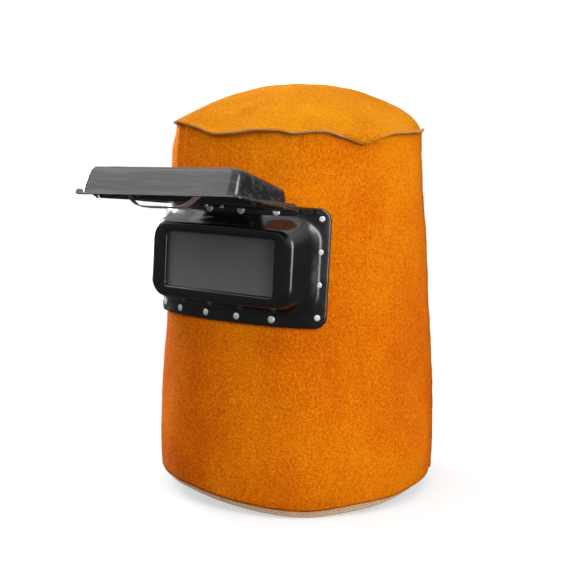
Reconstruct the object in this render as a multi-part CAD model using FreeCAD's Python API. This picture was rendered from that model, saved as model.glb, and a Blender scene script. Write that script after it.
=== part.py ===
import FreeCAD, Part
import os
from math import atan2, cos, degrees, hypot, pi, radians, sin
from FreeCAD import Placement, Rotation, Vector

# A leather welding hood with a riveted sheet-metal eyepiece and a flip-up filter cover.
# Millimetres, +Z up, -Y is the wearer's forward direction. The origin is the centre of the
# hem on the surface that the hood stands on.

# ---- driving dimensions: hood ----
LEATHER = 2.0
SEAM_Z = 280.0  # height of the seam between the wall and the crown
CROWN_RISE = 35.5  # the crown's height above that seam
BACK_SEAM = radians(118.0)  # plan angle of the two upright seams, behind the ears
SEAM_ALLOWANCE = 5.0  # width of the raw edges that stand out at the seams
HEM_TAPE = 1.0
HEM_HEIGHT = 6.0
# height, radius at the sides and back, and how far the front is flattened
HOOD_STATIONS = [
    (0.0, 107.5, 0.2),
    (30.0, 109.6, 1.0),
    (62.0, 108.6, 2.2),
    (95.0, 106.6, 3.5),
    (145.0, 103.6, 5.0),
    (190.0, 101.2, 6.4),
    (232.0, 98.6, 7.5),
    (SEAM_Z, 96.4, 7.0),
]
FRONT_ARC = radians(14.7)  # half angle of the flattened front arc
CORNER_ARC = radians(40.2)  # where the tighter corner arc runs into the round back

# ---- driving dimensions: eyepiece, in its own frame (x right, y into the hood, z up) ----
EYE_Y = -103.0  # world place of the eyepiece frame
EYE_Z = 188.5
EYE_TILT = 5.0  # degrees that the top leans back
SHEET = 1.2
EYE_RADIUS = 101.2  # plan shape of the hood behind the flange
EYE_FLAT = 6.4
LEATHER_GAP = 0.9
GLASS_W = 107.5
GLASS_H = 50.6
WINDOW_W = 99.8
WINDOW_LOW = -22.4
WINDOW_HIGH = 20.9
WINDOW_CORNER = 4.0
WINDOW_RIM = 1.6  # how far the turned-in rim of the window reaches back
FLANGE_TOP = 42.1
FLANGE_BOTTOM = -42.8
FLANGE_ARC = 79.6  # half length of the flange, measured round its curve
FLANGE_CORNER = 8.0
BOX_FRONT_Y = 0.2
BOX_SHOULDER_Y = 9.0
BOX_BACK_Y = 40.0
BOX_EDGE = 3.0
RIVET_BOTTOM_Z = -38.6
RIVET_TOP_Z = 38.6
RIVET_LOW_CORNER_Z = -35.6
RIVET_CORNER_Z = 35.5
RIVET_PITCH = 27.6
RIVET_CORNER_ARC = 73.5
RIVET_SHANK = 1.6
RIVET_HEAD = 3.1
RIVET_HEAD_HEIGHT = 1.5
CUTOUT_X = 66.0  # opening in the leather and in the backing frame
CUTOUT_LOW = -32.0
CUTOUT_HIGH = 34.0

# ---- driving dimensions: hinge and flip-up cover, drawn closed ----
AXIS_Y = -1.0
AXIS_Z = 43.0
OPEN_ANGLE = 97.7  # degrees from closed to the open rest pose
PIN_R = 1.15
PIN_CLEARANCE = 0.06
KNUCKLE_R = 2.4
KNUCKLE_MID = 18.7
KNUCKLE_END = 28.0
LEAF_HALF = 33.0
COVER_LIP_Y = AXIS_Y + KNUCKLE_R  # front of the cover's flat lip
COVER_HALF = 72.0
COVER_REACH = 77.0  # from the hinge axis to the free edge
TRAY_HALF_BASE = 66.6
TRAY_HALF_FACE = 63.7
TRAY_NEAR = 10.5
TRAY_FAR = 74.8
FACE_NEAR = 13.5
FACE_FAR = 69.8
FACE_DEPTH_NEAR = 12.7
FACE_DEPTH_FAR = 19.6
SPRING_X = 69.3  # plane of each over-centre spring, beside the tray
SPRING_REACH = 56.0  # from the hinge axis to the hook on the cover
EAR_NEAR = 52.0  # the cover's side lips start here, so that the coils swing clear
HOOK_Y = 24.0
HOOK_Z = 41.2

X_AXIS = Vector(1, 0, 0)
Z_AXIS = Vector(0, 0, 1)
PARTS = {}


# ---- plan shape of the hood ----
def outward(angle):
    """Unit vector away from the hood at a plan angle measured from the front."""
    return Vector(sin(angle), -cos(angle), 0)


def plan(radius, flat):
    """Centres and radii of the front, corner and back arcs; their tangents agree."""
    chord = (cos(FRONT_ARC) - cos(CORNER_ARC)) / (sin(CORNER_ARC) - sin(FRONT_ARC))
    front_r = radius - flat / (1 - cos(FRONT_ARC) - chord * sin(FRONT_ARC))
    step = sin(FRONT_ARC) / (sin(CORNER_ARC) - sin(FRONT_ARC))
    corner_r = radius - (front_r - radius) * step
    front_c = Vector(0, front_r - radius + flat, 0)
    corner_c = front_c + outward(FRONT_ARC) * (front_r - corner_r)
    return (front_c, front_r), (corner_c, corner_r), (Vector(0, 0, 0), radius)


def plan_point(radius, flat, angle, offset=0.0, z=0.0):
    front, corner, back = plan(radius, flat)
    a = abs(angle)
    centre, r = front if a <= FRONT_ARC else corner if a <= CORNER_ARC else back
    p = centre + outward(a) * (r + offset)
    return Vector(p.x if angle >= 0 else -p.x, p.y, z)


def plan_arc(radius, flat, a0, a1, offset, z):
    ends = [plan_point(radius, flat, a, offset, z) for a in (a0, (a0 + a1) / 2, a1)]
    return Part.Arc(*ends).toShape()


def plan_wire(radius, flat, offset, z):
    """The closed plan outline at one height, moved out by offset."""
    stops = [-pi, -CORNER_ARC, -FRONT_ARC, FRONT_ARC, CORNER_ARC, pi]
    pairs = zip(stops[:-1], stops[1:])
    return Part.Wire([plan_arc(radius, flat, a, b, offset, z) for a, b in pairs])


def arc_to_angle(s):
    """Plan angle at the distance s round the eyepiece's curve from its middle."""
    front, corner, back = plan(EYE_RADIUS, EYE_FLAT)
    run = abs(s)
    angle = run / front[1]
    if angle > FRONT_ARC:
        run -= FRONT_ARC * front[1]
        angle = FRONT_ARC + run / corner[1]
    if angle > CORNER_ARC:
        run -= (CORNER_ARC - FRONT_ARC) * corner[1]
        angle = CORNER_ARC + run / back[1]
    return angle if s >= 0 else -angle


# ---- small builders ----
def box(x0, x1, y0, y1, z0, z1):
    return Part.makeBox(x1 - x0, y1 - y0, z1 - z0, Vector(x0, y0, z0))


def rounded(half_w, z0, z1, corner, y=0.0):
    """A rounded rectangle in the plane y, centred on x = 0."""
    arcs = []
    centres = [
        (half_w - corner, z1 - corner, 0),
        (corner - half_w, z1 - corner, 90),
        (corner - half_w, z0 + corner, 180),
        (half_w - corner, z0 + corner, 270),
    ]
    for cx, cz, start in centres:
        points = []
        for turn in (0, 45, 90):
            a = radians(start + turn)
            points.append(Vector(cx + corner * cos(a), y, cz + corner * sin(a)))
        arcs.append(Part.Arc(*points).toShape())
    edges = []
    for i, arc in enumerate(arcs):
        edges.append(arc)
        follow = arcs[(i + 1) % 4]
        edges.append(Part.makeLine(arc.Vertexes[-1].Point, follow.Vertexes[0].Point))
    return Part.Wire(edges)


def slab(wire, depth):
    return Part.Face(wire).extrude(Vector(0, depth, 0))


def lathe(profile, base, direction):
    """Turn (radius, height) points about the line from base along direction."""
    points = [Vector(r, 0, h) for r, h in profile]
    face = Part.Face(Part.makePolygon(points + [points[0]]))
    solid = face.revolve(Vector(0, 0, 0), Z_AXIS, 360)
    solid.Placement = Placement(base, Rotation(Z_AXIS, direction))
    return solid


def place_eyepiece(shape):
    """From the eyepiece frame to the hood's frame."""
    out = shape.copy()
    turn = Rotation(X_AXIS, -EYE_TILT)
    out.Placement = Placement(Vector(0, EYE_Y, EYE_Z), turn).multiply(out.Placement)
    return out


def open_cover(shape):
    """Swing a shape drawn closed to the open rest pose, in the eyepiece frame."""
    out = shape.copy()
    out.rotate(Vector(0, AXIS_Y, AXIS_Z), X_AXIS, -OPEN_ANGLE)
    return out


def keep(name, shape):
    PARTS[name] = shape


# ---- hood ----
def arcs_between(radius, flat, stops, offset, z):
    pairs = zip(stops[:-1], stops[1:])
    return [plan_arc(radius, flat, a, b, offset, z) for a, b in pairs]


def join(points):
    return [Part.makeLine(a, b) for a, b in zip(points[:-1], points[1:])]


def panel_outline(station, back):
    """One level of a wall panel, with its raw edges standing out at the two upright seams."""
    z, radius, flat = station
    lap = LEATHER / radius
    if back:
        start, end = BACK_SEAM, 2 * pi - BACK_SEAM
        mid = [pi]
    else:
        start, end = -BACK_SEAM, BACK_SEAM
        mid = [-CORNER_ARC, -FRONT_ARC, FRONT_ARC, CORNER_ARC]
    outside = arcs_between(radius, flat, [start + lap] + mid + [end - lap], 0, z)
    inside = arcs_between(radius, flat, [start] + mid + [end], -LEATHER, z)
    edges = outside + inside
    for angle, step in ((start, lap), (end, -lap)):
        steps = [(angle + step, 0), (angle + step, SEAM_ALLOWANCE), (angle, SEAM_ALLOWANCE), (angle, -LEATHER)]
        edges += join([plan_point(radius, flat, a, offset, z) for a, offset in steps])
    return Part.Wire(Part.__sortEdges__(edges))


def wall_panel(back):
    stations = [(HEM_TAPE,) + HOOD_STATIONS[0][1:]] + HOOD_STATIONS[1:]
    return Part.makeLoft([panel_outline(station, back) for station in stations], True, True)


def hood_crown(offset):
    _, radius, flat = HOOD_STATIONS[-1]
    wires = []
    for lift in (0, 12, 24, 36, 48, 60, 72, 82):
        a = radians(lift)
        r = (radius + offset) * cos(a)
        wires.append(plan_wire(r, flat * cos(a), 0, SEAM_Z + (CROWN_RISE + offset) * sin(a)))
    return Part.makeLoft(wires, True, True)


def seam_ring(z0, z1):
    """Raw edge that stands out along the crown seam, as far as the upright seams."""
    _, radius, flat = HOOD_STATIONS[-1]
    end = BACK_SEAM - LEATHER / radius / 2
    stops = [-end, -CORNER_ARC, -FRONT_ARC, FRONT_ARC, CORNER_ARC, end]
    edges = arcs_between(radius, flat, stops, SEAM_ALLOWANCE, z0)
    edges += arcs_between(radius, flat, stops, -LEATHER / 2, z0)
    for a in (-end, end):
        edges += join([plan_point(radius, flat, a, o, z0) for o in (SEAM_ALLOWANCE, -LEATHER / 2)])
    return Part.Face(Part.Wire(Part.__sortEdges__(edges))).extrude(Vector(0, 0, z1 - z0))


def hem_ring(offset, z0, z1):
    _, radius, flat = HOOD_STATIONS[0]
    return Part.Face(plan_wire(radius, flat, offset, z0)).extrude(Vector(0, 0, z1 - z0))


def build_hood():
    front = wall_panel(False).fuse(seam_ring(SEAM_Z - LEATHER, SEAM_Z))
    crown = hood_crown(0).cut(hood_crown(-LEATHER))
    back = crown.fuse(seam_ring(SEAM_Z, SEAM_Z + LEATHER)).fuse(wall_panel(True))
    cutout = place_eyepiece(box(-CUTOUT_X, CUTOUT_X, -20, 60, CUTOUT_LOW, CUTOUT_HIGH))
    front = front.cut(cutout).cut(place_eyepiece(rivet_holes(RIVET_SHANK + 0.4)))
    hem = hem_ring(HEM_TAPE + 0.5, 0, HEM_HEIGHT).cut(hem_ring(-LEATHER - HEM_TAPE, 0, HEM_HEIGHT))
    keep("front_panel", front)
    keep("crown_back_panel", back)
    keep("hem_binding", hem.cut(front).cut(back))


# ---- the curved sheets of the eyepiece ----
def curved_sheet(inner, outer, half_arc, z0, z1, corner):
    """A sheet that follows the hood's plan, between two offsets from the leather's face."""
    end = arc_to_angle(half_arc)
    stops = [-end, -CORNER_ARC, -FRONT_ARC, FRONT_ARC, CORNER_ARC, end]
    if end < CORNER_ARC:
        stops = [-end, -FRONT_ARC, FRONT_ARC, end]
    if end < FRONT_ARC:
        stops = [-end, end]
    shift = Vector(0, -EYE_Y, 0)
    faces = []
    for offset in (outer, inner):
        pairs = list(zip(stops[:-1], stops[1:]))
        faces.append([plan_arc(EYE_RADIUS, EYE_FLAT, a, b, offset, z0) for a, b in pairs])
    first = Part.makeLine(faces[0][0].Vertexes[0].Point, faces[1][0].Vertexes[0].Point)
    last = Part.makeLine(faces[0][-1].Vertexes[-1].Point, faces[1][-1].Vertexes[-1].Point)
    loop = Part.Wire(Part.__sortEdges__(faces[0] + faces[1] + [first, last]))
    sheet = Part.Face(loop).extrude(Vector(0, 0, z1 - z0))
    sheet.translate(shift)
    if corner:
        thin = [e for e in sheet.Edges if e.Length < 2.0 * SHEET and is_end_edge(e, z0, z1)]
        sheet = sheet.makeFillet(corner, thin)
    return sheet


def is_end_edge(edge, z0, z1):
    a, b = (v.Point.z for v in edge.Vertexes)
    level = abs(a - b) < 1e-6
    return level and (abs(a - z0) < 1e-6 or abs(a - z1) < 1e-6)


def on_curve(s, z, offset):
    """Point and outward normal on the eyepiece's curve, in the eyepiece frame."""
    angle = arc_to_angle(s)
    p = plan_point(EYE_RADIUS, EYE_FLAT, angle, offset, z)
    return Vector(p.x, p.y - EYE_Y, z), outward(angle)


def rivet_places():
    """Distance round the curve, height, and whether the hinge leaf is under the head."""
    places = []
    for z, corner_z in ((RIVET_BOTTOM_Z, RIVET_LOW_CORNER_Z), (RIVET_TOP_Z, RIVET_CORNER_Z)):
        for s in (-1.5, -0.5, 0.5, 1.5):
            on_leaf = abs(s) < 1 and z == RIVET_TOP_Z
            places.append((s * RIVET_PITCH, z, on_leaf))
        for side in (-1, 1):
            places.append((side * RIVET_CORNER_ARC, corner_z, False))
    rise = (RIVET_CORNER_Z - RIVET_LOW_CORNER_Z) / 3
    for side in (-1, 1):
        for step in (1, 2):
            places.append((side * RIVET_CORNER_ARC, RIVET_LOW_CORNER_Z + rise * step, False))
    return places


def rivet_holes(radius):
    holes = []
    for s, z, _ in rivet_places():
        p, n = on_curve(s, z, -12)
        holes.append(Part.makeCylinder(radius, 24, p, n))
    return Part.makeCompound(holes)


FLANGE_FACE = LEATHER_GAP + SHEET
BACKING_OUT = -LEATHER - LEATHER_GAP
BACKING_IN = BACKING_OUT - SHEET
WASHER_GAP = 0.2
WASHER_T = 0.8
WASHER_R = 3.4


def build_rivets():
    rivets = []
    washers = []
    tail = BACKING_IN - WASHER_GAP - WASHER_T
    for s, z, on_leaf in rivet_places():
        head = FLANGE_FACE + (SHEET if on_leaf else 0) + 0.02
        base, normal = on_curve(s, z, 0)
        top = head + RIVET_HEAD_HEIGHT
        profile = [
            (0, tail - 1.0),
            (2.4, tail - 1.0),
            (2.6, tail - 0.05),
            (RIVET_SHANK, tail - 0.05),
            (RIVET_SHANK, head),
            (RIVET_HEAD, head),
            (RIVET_HEAD - 0.25, head + 0.7),
            (RIVET_HEAD * 0.66, top - 0.28),
            (RIVET_HEAD * 0.36, top),
            (RIVET_HEAD * 0.22, top - 0.05),
            (0, top - 0.35),
        ]
        rivets.append(lathe(profile, base, normal))
        ring = [
            (RIVET_SHANK + 0.05, tail),
            (WASHER_R, tail),
            (WASHER_R, tail + WASHER_T),
            (RIVET_SHANK + 0.05, tail + WASHER_T),
        ]
        washers.append(lathe(ring, base, normal))
    keep("flange_rivets", place_eyepiece(Part.makeCompound(rivets)))
    keep("rivet_washers", place_eyepiece(Part.makeCompound(washers)))


def box_body(skin):
    """The pressed box of the housing, shrunk all round by skin."""
    t = skin
    sections = [
        rounded(62.6 - t, -28.2 + t, 26.0 - t, 11 - t, BOX_FRONT_Y + t),
        rounded(64.6 - t, -31.0 + t, 33.0 - t, 12 - t, BOX_SHOULDER_Y + t * 0.6),
        rounded(67.5 - t, -31.0 + t, 33.0 - t, 13 - t, BOX_BACK_Y),
    ]
    body = Part.makeLoft(sections, True, True)
    front = [e for e in body.Edges if all(abs(v.Point.y - BOX_FRONT_Y - t) < 1e-6 for v in e.Vertexes)]
    return body.makeFillet(BOX_EDGE - t, front)


def build_housing():
    outer = box_body(0)
    inner = box_body(SHEET)
    core = Part.Face(plan_wire(EYE_RADIUS, EYE_FLAT, LEATHER_GAP, -70)).extrude(Vector(0, 0, 140))
    core.translate(Vector(0, -EYE_Y, 0))
    shell = outer.cut(inner).cut(core)
    half = WINDOW_W / 2
    low, high = WINDOW_LOW, WINDOW_HIGH
    rim_face = rounded(half + SHEET, low - SHEET, high + SHEET, WINDOW_CORNER + SHEET, BOX_FRONT_Y + SHEET / 2)
    rim = slab(rim_face, WINDOW_RIM)
    hole = slab(rounded(half, low, high, WINDOW_CORNER, BOX_FRONT_Y - 1), 7)
    flange = curved_sheet(LEATHER_GAP, FLANGE_FACE, FLANGE_ARC, FLANGE_BOTTOM, FLANGE_TOP, FLANGE_CORNER)
    flange = flange.cut(inner)
    housing = shell.fuse(rim).fuse(flange).cut(hole).cut(rivet_holes(RIVET_SHANK + 0.05))
    keep("lens_housing", place_eyepiece(housing.removeSplitter()))
    frame = curved_sheet(BACKING_IN, BACKING_OUT, FLANGE_ARC - 1, FLANGE_BOTTOM + 0.4, FLANGE_TOP - 0.4, 7)
    frame = frame.cut(box(-CUTOUT_X, CUTOUT_X, -20, 60, CUTOUT_LOW, CUTOUT_HIGH))
    frame = frame.cut(rivet_holes(RIVET_SHANK + 0.05))
    keep("backing_frame", place_eyepiece(frame))


def framed_slab(half_w, half_h, corner, border, y, depth):
    outer = slab(rounded(half_w, -half_h, half_h, corner, y), depth)
    inner = rounded(half_w - border, border - half_h, half_h - border, corner, y)
    return outer.cut(slab(inner, depth))


GASKET_T = 0.8
CLEAR_T = 1.6
FILTER_T = 3.0
GASKET_Y = BOX_FRONT_Y + SHEET / 2 + WINDOW_RIM + 0.1


def glass_stack(y):
    """Gasket, clear plate and filter plate, one behind the other from the plane y."""
    half_w, half_h = GLASS_W / 2, GLASS_H / 2
    gasket = framed_slab(half_w, half_h, 3, 4.0, y, GASKET_T)
    clear = slab(rounded(half_w, -half_h, half_h, 2, y + GASKET_T), CLEAR_T)
    dark = slab(rounded(half_w, -half_h, half_h, 2, y + GASKET_T + CLEAR_T), FILTER_T)
    return gasket, clear, dark


def bent_strip(points, thickness, z0, z1):
    """A strip bent along points in the x-y plane, mirrored in x, with rounded bends."""
    path = [Vector(-x, y, z0) for x, y in reversed(points)] + [Vector(x, y, z0) for x, y in points]
    wire = Part.makePolygon(path)
    outline = wire.makeOffset2D(thickness / 2, 0, False, False, True)
    return Part.Face(outline).extrude(Vector(0, 0, z1 - z0))


def build_window():
    gasket, clear, tinted = glass_stack(GASKET_Y)
    keep("window_gasket", place_eyepiece(gasket))
    keep("window_clear_glass", place_eyepiece(clear))
    keep("window_tinted_glass", place_eyepiece(tinted))
    back = GASKET_Y + GASKET_T + CLEAR_T + FILTER_T
    bow = [(10, back + 0.4), (18, back + 1.4), (28, back + 4.6)]
    strip = bent_strip(bow, 0.6, 50.6, 53.6)
    strip.rotate(Vector(0, 0, 0), Vector(0, 1, 0), 90)
    strips = [strip, strip.mirror(Vector(0, 0, 0), X_AXIS)]
    keep("window_glass_springs", place_eyepiece(Part.makeCompound(strips)))
    y = back + 5.4
    room = box_body(SHEET + 0.05)
    lugs = []
    for x in (-56.0, 49.5):
        for z in (-40.0, 25.5):
            lugs.append(box(x, x + 6.5, y, y + 1, z, z + 14.5).common(room))
    keep("window_spring_lugs", place_eyepiece(Part.makeCompound(lugs)))


# ---- hinge ----
def knuckle(x0, x1, bore):
    solid = Part.makeCylinder(KNUCKLE_R, x1 - x0, Vector(x0, AXIS_Y, AXIS_Z), X_AXIS)
    return solid.cut(Part.makeCylinder(bore, x1 - x0, Vector(x0, AXIS_Y, AXIS_Z), X_AXIS))


def build_hinge():
    top = AXIS_Z + KNUCKLE_R
    leaf = curved_sheet(FLANGE_FACE + 0.01, FLANGE_FACE + SHEET, LEAF_HALF, 34.5, top, 0)
    front, _ = on_curve(0, 0, FLANGE_FACE + SHEET)
    shelf = box(-KNUCKLE_END, KNUCKLE_END, AXIS_Y, front.y + 3.5, top - SHEET, top)
    reach = curved_sheet(-20, FLANGE_FACE + 0.01, LEAF_HALF + 5, 30, top + 5, 0)
    shelf = shelf.cut(reach)
    fixed = leaf.fuse(shelf)
    gap = KNUCKLE_MID + 0.3
    fixed = fixed.cut(box(-gap, gap, AXIS_Y - 5, AXIS_Y + KNUCKLE_R + 0.4, top - 8, top + 1))
    for side in (-1, 1):
        x0, x1 = sorted((side * gap, side * KNUCKLE_END))
        fixed = fixed.fuse(knuckle(x0, x1, PIN_R))
        fixed = fixed.cut(Part.makeCylinder(PIN_R, x1 - x0, Vector(x0, AXIS_Y, AXIS_Z), X_AXIS))
    fixed = fixed.cut(rivet_holes(RIVET_SHANK + 0.05))
    keep("hinge_leaf_fixed", place_eyepiece(fixed.removeSplitter()))
    pin = Part.makeCylinder(PIN_R, 2 * KNUCKLE_END, Vector(-KNUCKLE_END, AXIS_Y, AXIS_Z), X_AXIS)
    for side in (-1, 1):
        x0 = KNUCKLE_END if side > 0 else -KNUCKLE_END - 0.8
        pin = pin.fuse(Part.makeCylinder(PIN_R + 0.7, 0.8, Vector(x0, AXIS_Y, AXIS_Z), X_AXIS))
    keep("hinge_pin", place_eyepiece(pin.removeSplitter()))
    plate = box(-KNUCKLE_MID, KNUCKLE_MID, COVER_LIP_Y - SHEET, COVER_LIP_Y, AXIS_Z - 10, AXIS_Z)
    moving = plate.fuse(knuckle(-KNUCKLE_MID, KNUCKLE_MID, PIN_R + PIN_CLEARANCE))
    bore = Part.makeCylinder(PIN_R + PIN_CLEARANCE, 60, Vector(-30, AXIS_Y, AXIS_Z), X_AXIS)
    moving = moving.cut(bore).cut(lip_rivet_holes())
    keep("hinge_leaf_moving", place_eyepiece(open_cover(moving.removeSplitter())))
    rivets = []
    for x in LIP_RIVETS_X:
        y = COVER_LIP_Y
        profile = [
            (0, -SHEET - 0.5),
            (1.9, -SHEET - 0.5),
            (1.9, -SHEET - 0.01),
            (1.2, -SHEET - 0.01),
            (1.2, SHEET + 0.01),
            (2.3, SHEET + 0.01),
            (2.0, SHEET + 0.7),
            (1.0, SHEET + 1.1),
            (0, SHEET + 1.1),
        ]
        rivets.append(lathe(profile, Vector(x, y, LIP_RIVET_Z), Vector(0, -1, 0)))
    keep("flip_hinge_rivets", place_eyepiece(open_cover(Part.makeCompound(rivets))))


LIP_RIVETS_X = (-7.0, 7.0)
LIP_RIVET_Z = AXIS_Z - 6.6


def lip_rivet_holes():
    holes = [Part.makeCylinder(1.22, 12, Vector(x, COVER_LIP_Y - 6, LIP_RIVET_Z), Vector(0, 1, 0))
             for x in LIP_RIVETS_X]
    return Part.makeCompound(holes)


# ---- flip-up cover ----
FACE_RUN = hypot(FACE_FAR - FACE_NEAR, FACE_DEPTH_FAR - FACE_DEPTH_NEAR)
FACE_LEAN = degrees(atan2(FACE_DEPTH_FAR - FACE_DEPTH_NEAR, FACE_FAR - FACE_NEAR))
FACE_MID_Z = AXIS_Z - (FACE_NEAR + FACE_FAR) / 2
FACE_MID_Y = COVER_LIP_Y + SHEET / 2 - (FACE_DEPTH_NEAR + FACE_DEPTH_FAR) / 2


def on_face(shape):
    """From the cover's face plane (y = 0, z along the face) to the closed cover."""
    out = shape.copy()
    turn = Rotation(X_AXIS, -FACE_LEAN)
    out.Placement = Placement(Vector(0, FACE_MID_Y, FACE_MID_Z), turn).multiply(out.Placement)
    return out


def tray_body(skin):
    t = skin
    base = rounded(TRAY_HALF_BASE - t, AXIS_Z - TRAY_FAR + t, AXIS_Z - TRAY_NEAR - t, 12 - t, COVER_LIP_Y + SHEET)
    face = on_face(rounded(TRAY_HALF_FACE - t, -FACE_RUN / 2 + t, FACE_RUN / 2 - t, 11 - t, t))
    body = Part.makeLoft([base, face], True, True)
    rim = [e for e in body.Edges if all(v.Point.y < COVER_LIP_Y - 5 for v in e.Vertexes)]
    return body.makeFillet(3.0 - t, rim)


def build_cover():
    outer = tray_body(0)
    inner = tray_body(SHEET)
    free = AXIS_Z - COVER_REACH
    ears = slab(rounded(COVER_HALF, free, AXIS_Z - EAR_NEAR, 6, COVER_LIP_Y), SHEET)
    lip = slab(rounded(TRAY_HALF_BASE, free + 1, AXIS_Z - 3, 14, COVER_LIP_Y), SHEET).fuse(ears)
    window = slab(rounded(WINDOW_W / 2, -21.2, 21.2, 6, -3), 10)
    shell = outer.cut(inner).fuse(lip.cut(inner)).cut(on_face(window)).cut(lip_rivet_holes())
    for side in (-1, 1):
        foot = Vector(side * SPRING_X, COVER_LIP_Y - 2, AXIS_Z - SPRING_REACH)
        shell = shell.cut(Part.makeCylinder(EYELET_SHANK, 6, foot, Vector(0, 1, 0)))
    keep("flip_shell", place_eyepiece(open_cover(shell.removeSplitter())))
    gasket, clear, dark = (on_face(s) for s in glass_stack(SHEET))
    keep("flip_gasket", place_eyepiece(open_cover(gasket)))
    keep("flip_clear_glass", place_eyepiece(open_cover(clear)))
    keep("flip_dark_filter", place_eyepiece(open_cover(dark)))
    back = SHEET + GASKET_T + CLEAR_T + FILTER_T
    bow = [(15, back + 19.0), (22, back + 17.5), (41, back + 3.2), (46, back + 0.8), (54.5, back + 0.4)]
    strip = on_face(bent_strip(bow, 0.6, -25.2, -19.4))
    keep("flip_glass_spring", place_eyepiece(open_cover(strip)))
    room = tray_body(SHEET + 0.05)
    lugs = []
    for side in (-1, 1):
        x0, x1 = sorted((side * 50.0, side * 66.0))
        lugs.append(on_face(box(x0, x1, back + 1.1, back + 2.1, -25.0, -20.0)).common(room))
    keep("flip_spring_lugs", place_eyepiece(open_cover(Part.makeCompound(lugs))))


# ---- over-centre springs, their eyelets and tabs ----
EYELET_BORE = 0.95
EYELET_SHANK = 1.4
EYELET_RIM = 2.2
EYELET_RIM_T = 0.3
WIRE_R = 0.5
COIL_R = 2.3
COIL_LENGTH = 44.0
LOOP_R = 1.9
TAB_T = 1.0
TAB_HOLE = 1.0


def spring(hook_a, hook_b):
    """Close-wound coil with a hook loop at each end, from one hole to the other."""
    along = (hook_b - hook_a).normalize()
    loop_a = hook_a + along * LOOP_R
    loop_b = hook_b - along * LOOP_R
    start = loop_a + along * (LOOP_R + 1.5)
    coil = Part.makeCylinder(COIL_R, COIL_LENGTH, start, along)
    bore = Part.makeCylinder(COIL_R - 2 * WIRE_R, COIL_LENGTH - 2 * WIRE_R, start + along * WIRE_R, along)
    neck = Part.makeCylinder(WIRE_R, 2.0 + WIRE_R, loop_a + along * LOOP_R, along)
    end = start + along * (COIL_LENGTH - WIRE_R)
    wire = Part.makeCylinder(WIRE_R, (loop_b - end).Length - LOOP_R, end, along)
    first = Part.makeTorus(LOOP_R, WIRE_R, loop_a, X_AXIS)
    up = X_AXIS.cross(along)
    last = Part.makeTorus(LOOP_R, WIRE_R, loop_b, up)
    return coil.cut(bore).fuse([neck, wire, first, last]).removeSplitter()


def build_springs():
    eyelets = []
    tabs = []
    behind = curved_sheet(-20, FLANGE_FACE + 0.02, FLANGE_ARC, 30, 50, 0)
    for side in (-1, 1):
        x = side * SPRING_X
        hole = Vector(x, COVER_LIP_Y + SHEET / 2, AXIS_Z - SPRING_REACH)
        half = SHEET / 2 + EYELET_RIM_T
        profile = [
            (EYELET_BORE, -half),
            (EYELET_RIM, -half),
            (EYELET_RIM, -SHEET / 2 - 0.01),
            (EYELET_SHANK - 0.01, -SHEET / 2 - 0.01),
            (EYELET_SHANK - 0.01, SHEET / 2 + 0.01),
            (EYELET_RIM, SHEET / 2 + 0.01),
            (EYELET_RIM, half),
            (EYELET_BORE, half),
        ]
        eyelets.append(open_cover(lathe(profile, hole, Vector(0, 1, 0))))
        hook_a = open_cover(Part.Vertex(hole)).Point
        hook_b = Vector(x, HOOK_Y, HOOK_Z)
        tab = box(x - TAB_T / 2, x + TAB_T / 2, HOOK_Y - 2.2, HOOK_Y + 12, HOOK_Z - 1.9, HOOK_Z + 1.9)
        drill = Part.makeCylinder(TAB_HOLE, 4, Vector(x - 2, HOOK_Y, HOOK_Z), X_AXIS)
        tabs.append(tab.cut(behind).cut(drill))
        name = "over_centre_spring_right" if side > 0 else "over_centre_spring_left"
        keep(name, place_eyepiece(spring(hook_a, hook_b)))
    keep("flip_spring_eyelets", place_eyepiece(Part.makeCompound(eyelets)))
    keep("housing_spring_tabs", place_eyepiece(Part.makeCompound(tabs)))


def main():
    build_hood()
    build_rivets()
    build_housing()
    build_window()
    build_hinge()
    build_cover()
    build_springs()
    os.makedirs("parts", exist_ok=True)
    for name, shape in PARTS.items():
        shape.exportStep("parts/%s.step" % name)
        print(name, "solids", len(shape.Solids), "valid", shape.isValid(), "mm3", round(shape.Volume, 1))


main()
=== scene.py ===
import math

import bmesh
import bpy
import numpy as np
from mathutils import Matrix, Vector, noise

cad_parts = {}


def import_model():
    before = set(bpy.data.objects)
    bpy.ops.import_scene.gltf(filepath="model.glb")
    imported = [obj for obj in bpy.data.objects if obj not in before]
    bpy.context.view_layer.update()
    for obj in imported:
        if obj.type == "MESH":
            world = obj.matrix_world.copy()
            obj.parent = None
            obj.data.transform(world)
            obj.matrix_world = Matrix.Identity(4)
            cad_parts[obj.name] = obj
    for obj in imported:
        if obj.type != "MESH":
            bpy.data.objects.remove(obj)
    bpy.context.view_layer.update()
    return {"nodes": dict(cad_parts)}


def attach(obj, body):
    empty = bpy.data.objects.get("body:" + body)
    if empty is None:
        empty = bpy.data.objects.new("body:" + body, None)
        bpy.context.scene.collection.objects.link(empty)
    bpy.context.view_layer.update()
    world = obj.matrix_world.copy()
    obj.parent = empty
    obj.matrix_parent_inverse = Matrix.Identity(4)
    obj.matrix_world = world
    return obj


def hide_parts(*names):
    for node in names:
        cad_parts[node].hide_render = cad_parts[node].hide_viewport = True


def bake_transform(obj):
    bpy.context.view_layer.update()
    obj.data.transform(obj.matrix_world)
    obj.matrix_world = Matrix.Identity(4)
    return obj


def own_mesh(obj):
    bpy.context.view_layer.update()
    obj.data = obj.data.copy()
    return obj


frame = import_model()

NODES = frame["nodes"]
MM = 0.001
HOOD, COVER = "hood", "flip_cover"


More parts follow.
